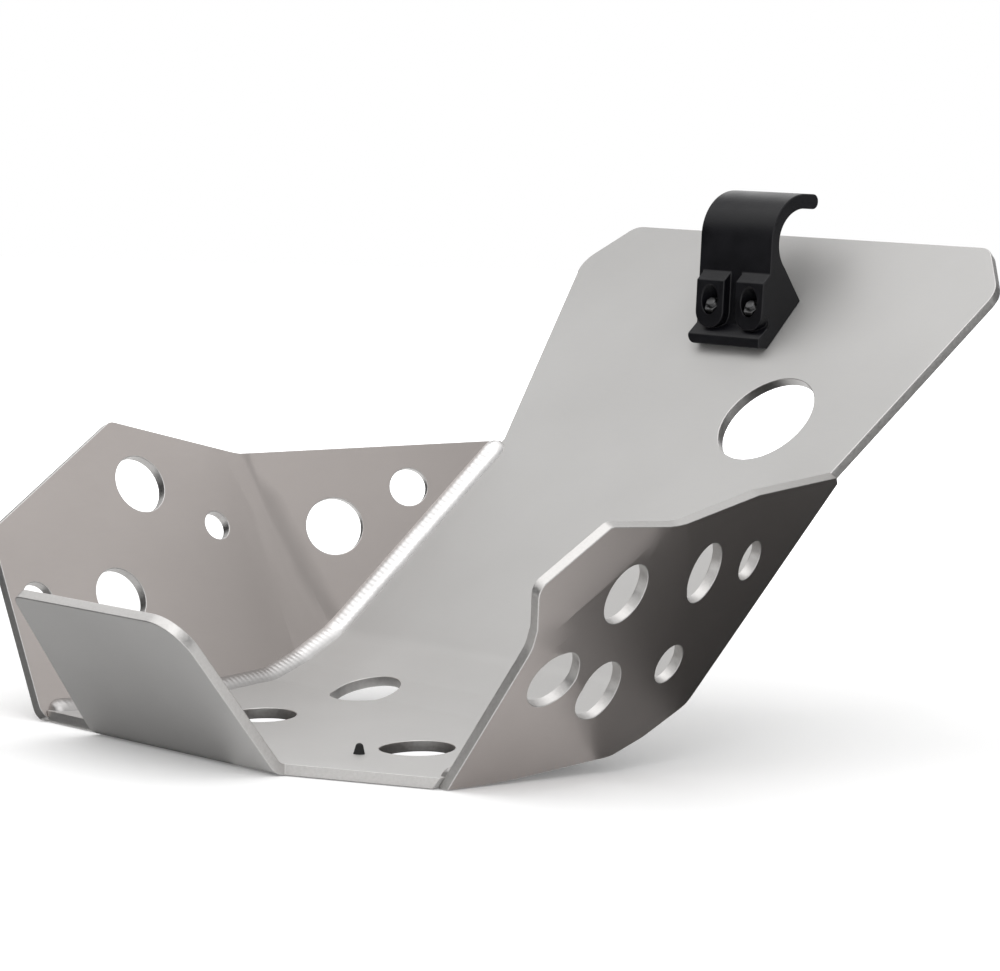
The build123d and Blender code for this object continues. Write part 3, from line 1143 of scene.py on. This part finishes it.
@dataclass
class Studio:
    """White paper floor, white surroundings, soft lamps and dark cards for the metal to mirror."""

    floor_size: float = 12.0
    floor_drop: float = 0.3 * MM
    paper: float = 0.88
    paper_glow: float = 0.13
    glow_near: float = 0.45
    glow_far: float = 1.1
    # Painted light: a glowing white patch on the paper under each drain, inside the plate's shadow
    drains_middle: Place = (-0.007, -0.064, 0)
    drain_offset: Place = (0.052, 0, 0)
    drain_painted_light_near: float = 28 * MM
    drain_painted_light_far: float = 30 * MM
    ambient: float = 0.85
    cards: tuple[DarkCard, ...] = (
        DarkCard(
            "floor_card",
            ((0.0, 0.06, 0), (0.245, 0.06, 0), (0.28, 0.18, 0), (1.4, 0.7, 0), (1.4, 1.6, 0), (-0.1, 1.6, 0)),
        ),
        DarkCard(
            "near_floor_card",
            ((0.0, -0.02, 0), (0.19, -0.02, 0), (0.245, 0.06, 0), (0.0, 0.06, 0)),
            shade=0.3,
        ),
        DarkCard(
            "front_card",
            ((-0.3, 1.3, 0), (1.3, 1.3, 0), (1.3, 1.3, 0.6), (-0.3, 1.3, 0.6)),
        ),
        DarkCard(
            "under_card",
            ((-0.1, -0.12, 0), (0.1, -0.12, 0), (0.1, -0.02, 0), (-0.1, -0.02, 0)),
        ),
        DarkCard(
            "tab_card",
            ((0.03, -0.15, 0), (0.03, -0.45, 0), (-0.42, -0.45, 0), (-0.42, -0.15, 0)),
            shade=0.2,
        ),
        DarkCard(
            "left_floor_card",
            ((-0.42, 0.9, 0), (-0.42, -0.45, 0), (-0.3, -2.0, 0), (-2.2, -0.6, 0), (-2.2, 1.2, 0)),
        ),
        DarkCard(
            "left_card",
            ((-2.2, -0.6, 0), (-0.3, -2.0, 0), (-0.3, -2.0, 0.9), (-2.2, -0.6, 0.9)),
        ),
        DarkCard(
            "far_left_card",
            ((-2.2, 1.2, 0), (-2.2, -0.6, 0), (-2.2, -0.6, 0.6), (-2.2, 1.2, 0.6)),
        ),
        DarkCard(
            "near_left_card",
            ((-0.42, 0.1, 0.35), (-0.42, 0.35, 0.35), (-0.42, 0.35, 0.75), (-0.42, 0.1, 0.75)),
            shade=0.3,
        ),
        DarkCard(
            "right_card",
            ((1.4, 0.5, 0.5), (1.4, -0.25, 0.5), (1.4, -0.25, 1.1), (1.4, 0.5, 1.1)),
            shade=0.15,
        ),
    )
    lamps: tuple[SoftBox, ...] = (
        SoftBox("key_lamp", (-0.45, -0.3, 1.8), width=1.7, watts=7.0),
        SoftBox("right_lamp", (1.2, -1.2, 2.0), width=1.2, watts=9.0),
        SoftBox("fill_lamp", (-1.8, 1.2, 1.2), width=1.4, watts=6.0),
        SoftBox("front_lamp", (1.1, 1.5, 1.2), width=1.2, watts=1.0),
        SoftBox("top_lamp", (0.3, 0.3, 2.4), width=1.8, watts=4.0),
    )

    def white_paper(self) -> Material:
        """Make the paper: shadowed near the object, plain white further out, with painted light under the
        drains.

        Returns:
            The material.
        """
        shader = Shader("white_paper")
        distance = shader.length("LENGTH", shader.place)
        glow = shader.ramp(distance, self.glow_near, self.glow_far, self.paper_glow, 1.0)
        # Painted light: the paper glows white under each drain, where the plate's shadow would fall
        aside = shader.vector("SUBTRACT", shader.place, self.drains_middle)
        to_drain = shader.length("DISTANCE", shader.vector("ABSOLUTE", aside), self.drain_offset)
        drain_painted_light = shader.ramp(to_drain, self.drain_painted_light_near, self.drain_painted_light_far, 1.0, 0.0)
        strength = shader.number("MULTIPLY", shader.number("MAXIMUM", glow, drain_painted_light), shader.seen())
        paper = shader.add("ShaderNodeBsdfDiffuse", Color=(self.paper, self.paper, self.paper, 1))
        light = shader.add("ShaderNodeEmission", Strength=strength)
        both = shader.add("ShaderNodeAddShader")
        shader.fill(both.inputs[0], paper.outputs["BSDF"])
        shader.fill(both.inputs[1], light.outputs["Emission"])
        shader.fill(shader.surface, both.outputs["Shader"])
        return shader.material

    def lay_floor(self) -> None:
        """Lay the paper floor on the stage."""
        shape = bmesh.new()
        bmesh.ops.create_grid(shape, x_segments=1, y_segments=1, size=self.floor_size / 2)
        bmesh.ops.translate(shape, verts=shape.verts, vec=-UP * self.floor_drop)
        add_object(shape, "paper_floor", [self.white_paper()])

    def paint_world(self) -> None:
        """Make the surroundings white to the eye and to reflections, and a soft light to the rest."""
        world = bpy.data.worlds.new("white_surroundings")
        world.use_nodes = True
        bpy.context.scene.world = world
        nodes = NodeBuilder(world.node_tree)
        strength = nodes.ramp(nodes.seen(), 0.0, 1.0, self.ambient, 1.0)
        background = nodes.add("ShaderNodeBackground", Color=WHITE, Strength=strength)
        nodes.add("ShaderNodeOutputWorld", Surface=background.outputs["Background"])

    def set_up(self) -> None:
        """Build the whole stage."""
        self.lay_floor()
        for card in self.cards:
            card.stand()
        self.paint_world()
        for lamp in self.lamps:
            lamp.hang()
        PhotoCamera().stand()
        bpy.context.scene.view_settings.view_transform = "Standard"


def skid_plate() -> list[Piece]:
    """Choose the finishes and list the pieces that wear them.

    Returns:
        All pieces of the skid plate.
    """
    plate_sheet = SatinSheet(
        "plate_sheet",
        colour=(0.468, 0.462, 0.454),
        cloud_colour=(0.494, 0.488, 0.48),
        grain=Grain.ACROSS,
        roughness=0.54,
        metal=0.45,
    )
    wing_sheet = SatinSheet(
        "wing_sheet",
        colour=(0.400, 0.368, 0.353),
        cloud_colour=(0.425, 0.392, 0.376),
        grain=Grain.ALONG,
        roughness=0.38,
    )
    cut_edge = GrainedMetal(
        "cut_edge",
        colour=(0.54, 0.53, 0.52),
        shade=(0.48, 0.47, 0.46),
        roughness=0.38,
        roughness_play=0.05,
        grain_scale=800.0,
        grain_depth=0.005 * MM,
    )
    # Painted shade: the screws' and nuts' steel is coloured near-black, standing for the shade inside the
    # hook's pockets
    pocket_shade_steel = GrainedMetal(
        "pocket_shade_steel",
        colour=(0.10, 0.10, 0.103),
        shade=(0.07, 0.07, 0.07),
        roughness=0.34,
        roughness_play=0.06,
        grain_scale=1200.0,
        grain_depth=0.01 * MM,
    )
    hook_plastic = MouldedBlack(
        "hook_plastic",
        colour=(0.002, 0.002, 0.003),
        bloom=(0.004, 0.004, 0.006),
        roughness=0.40,
        sheen=0.3,
    )
    stop_rubber = MouldedBlack(
        "stop_rubber",
        colour=(0.012, 0.012, 0.012),
        bloom=(0.02, 0.02, 0.02),
        roughness=0.7,
    )
    weld_metal = WeldMetal()
    wing_finishes = (wing_sheet, cut_edge)
    wing_bend = 10 * MM
    return [
        FoldedSheet("folded_plate", "centre_plate", Slot.PLATE, (plate_sheet, cut_edge)),
        FoldedSheet("folded_left_wing", "left_wing", Slot.WING, wing_finishes, bend_width=wing_bend),
        FoldedSheet("folded_right_wing", "right_wing", Slot.WING, wing_finishes, bend_width=wing_bend),
        WeldBead("left_weld_bead", "left_weld", Slot.WELD, (weld_metal,), "left_wing", Side.LEFT),
        WeldBead("right_weld_bead", "right_weld", Slot.WELD, (weld_metal,), "right_wing", Side.RIGHT),
        FrameHook("moulded_hook", "frame_hook", Slot.HOOK, (hook_plastic,)),
        HookScrews("socket_screws", "hook_screws", Slot.STEEL, (pocket_shade_steel,)),
        HookNuts("hexagon_nuts", "hook_nuts", Slot.STEEL, (pocket_shade_steel,)),
        RubberStop("domed_stop", "bump_stop", Slot.RUBBER, (stop_rubber,)),
    ]


def main() -> None:
    """Dress every piece and set up the stage."""
    logging.basicConfig(level=logging.INFO)
    for piece in skid_plate():
        piece.dress()
    Studio().set_up()


if __name__ == "__main__":
    main()
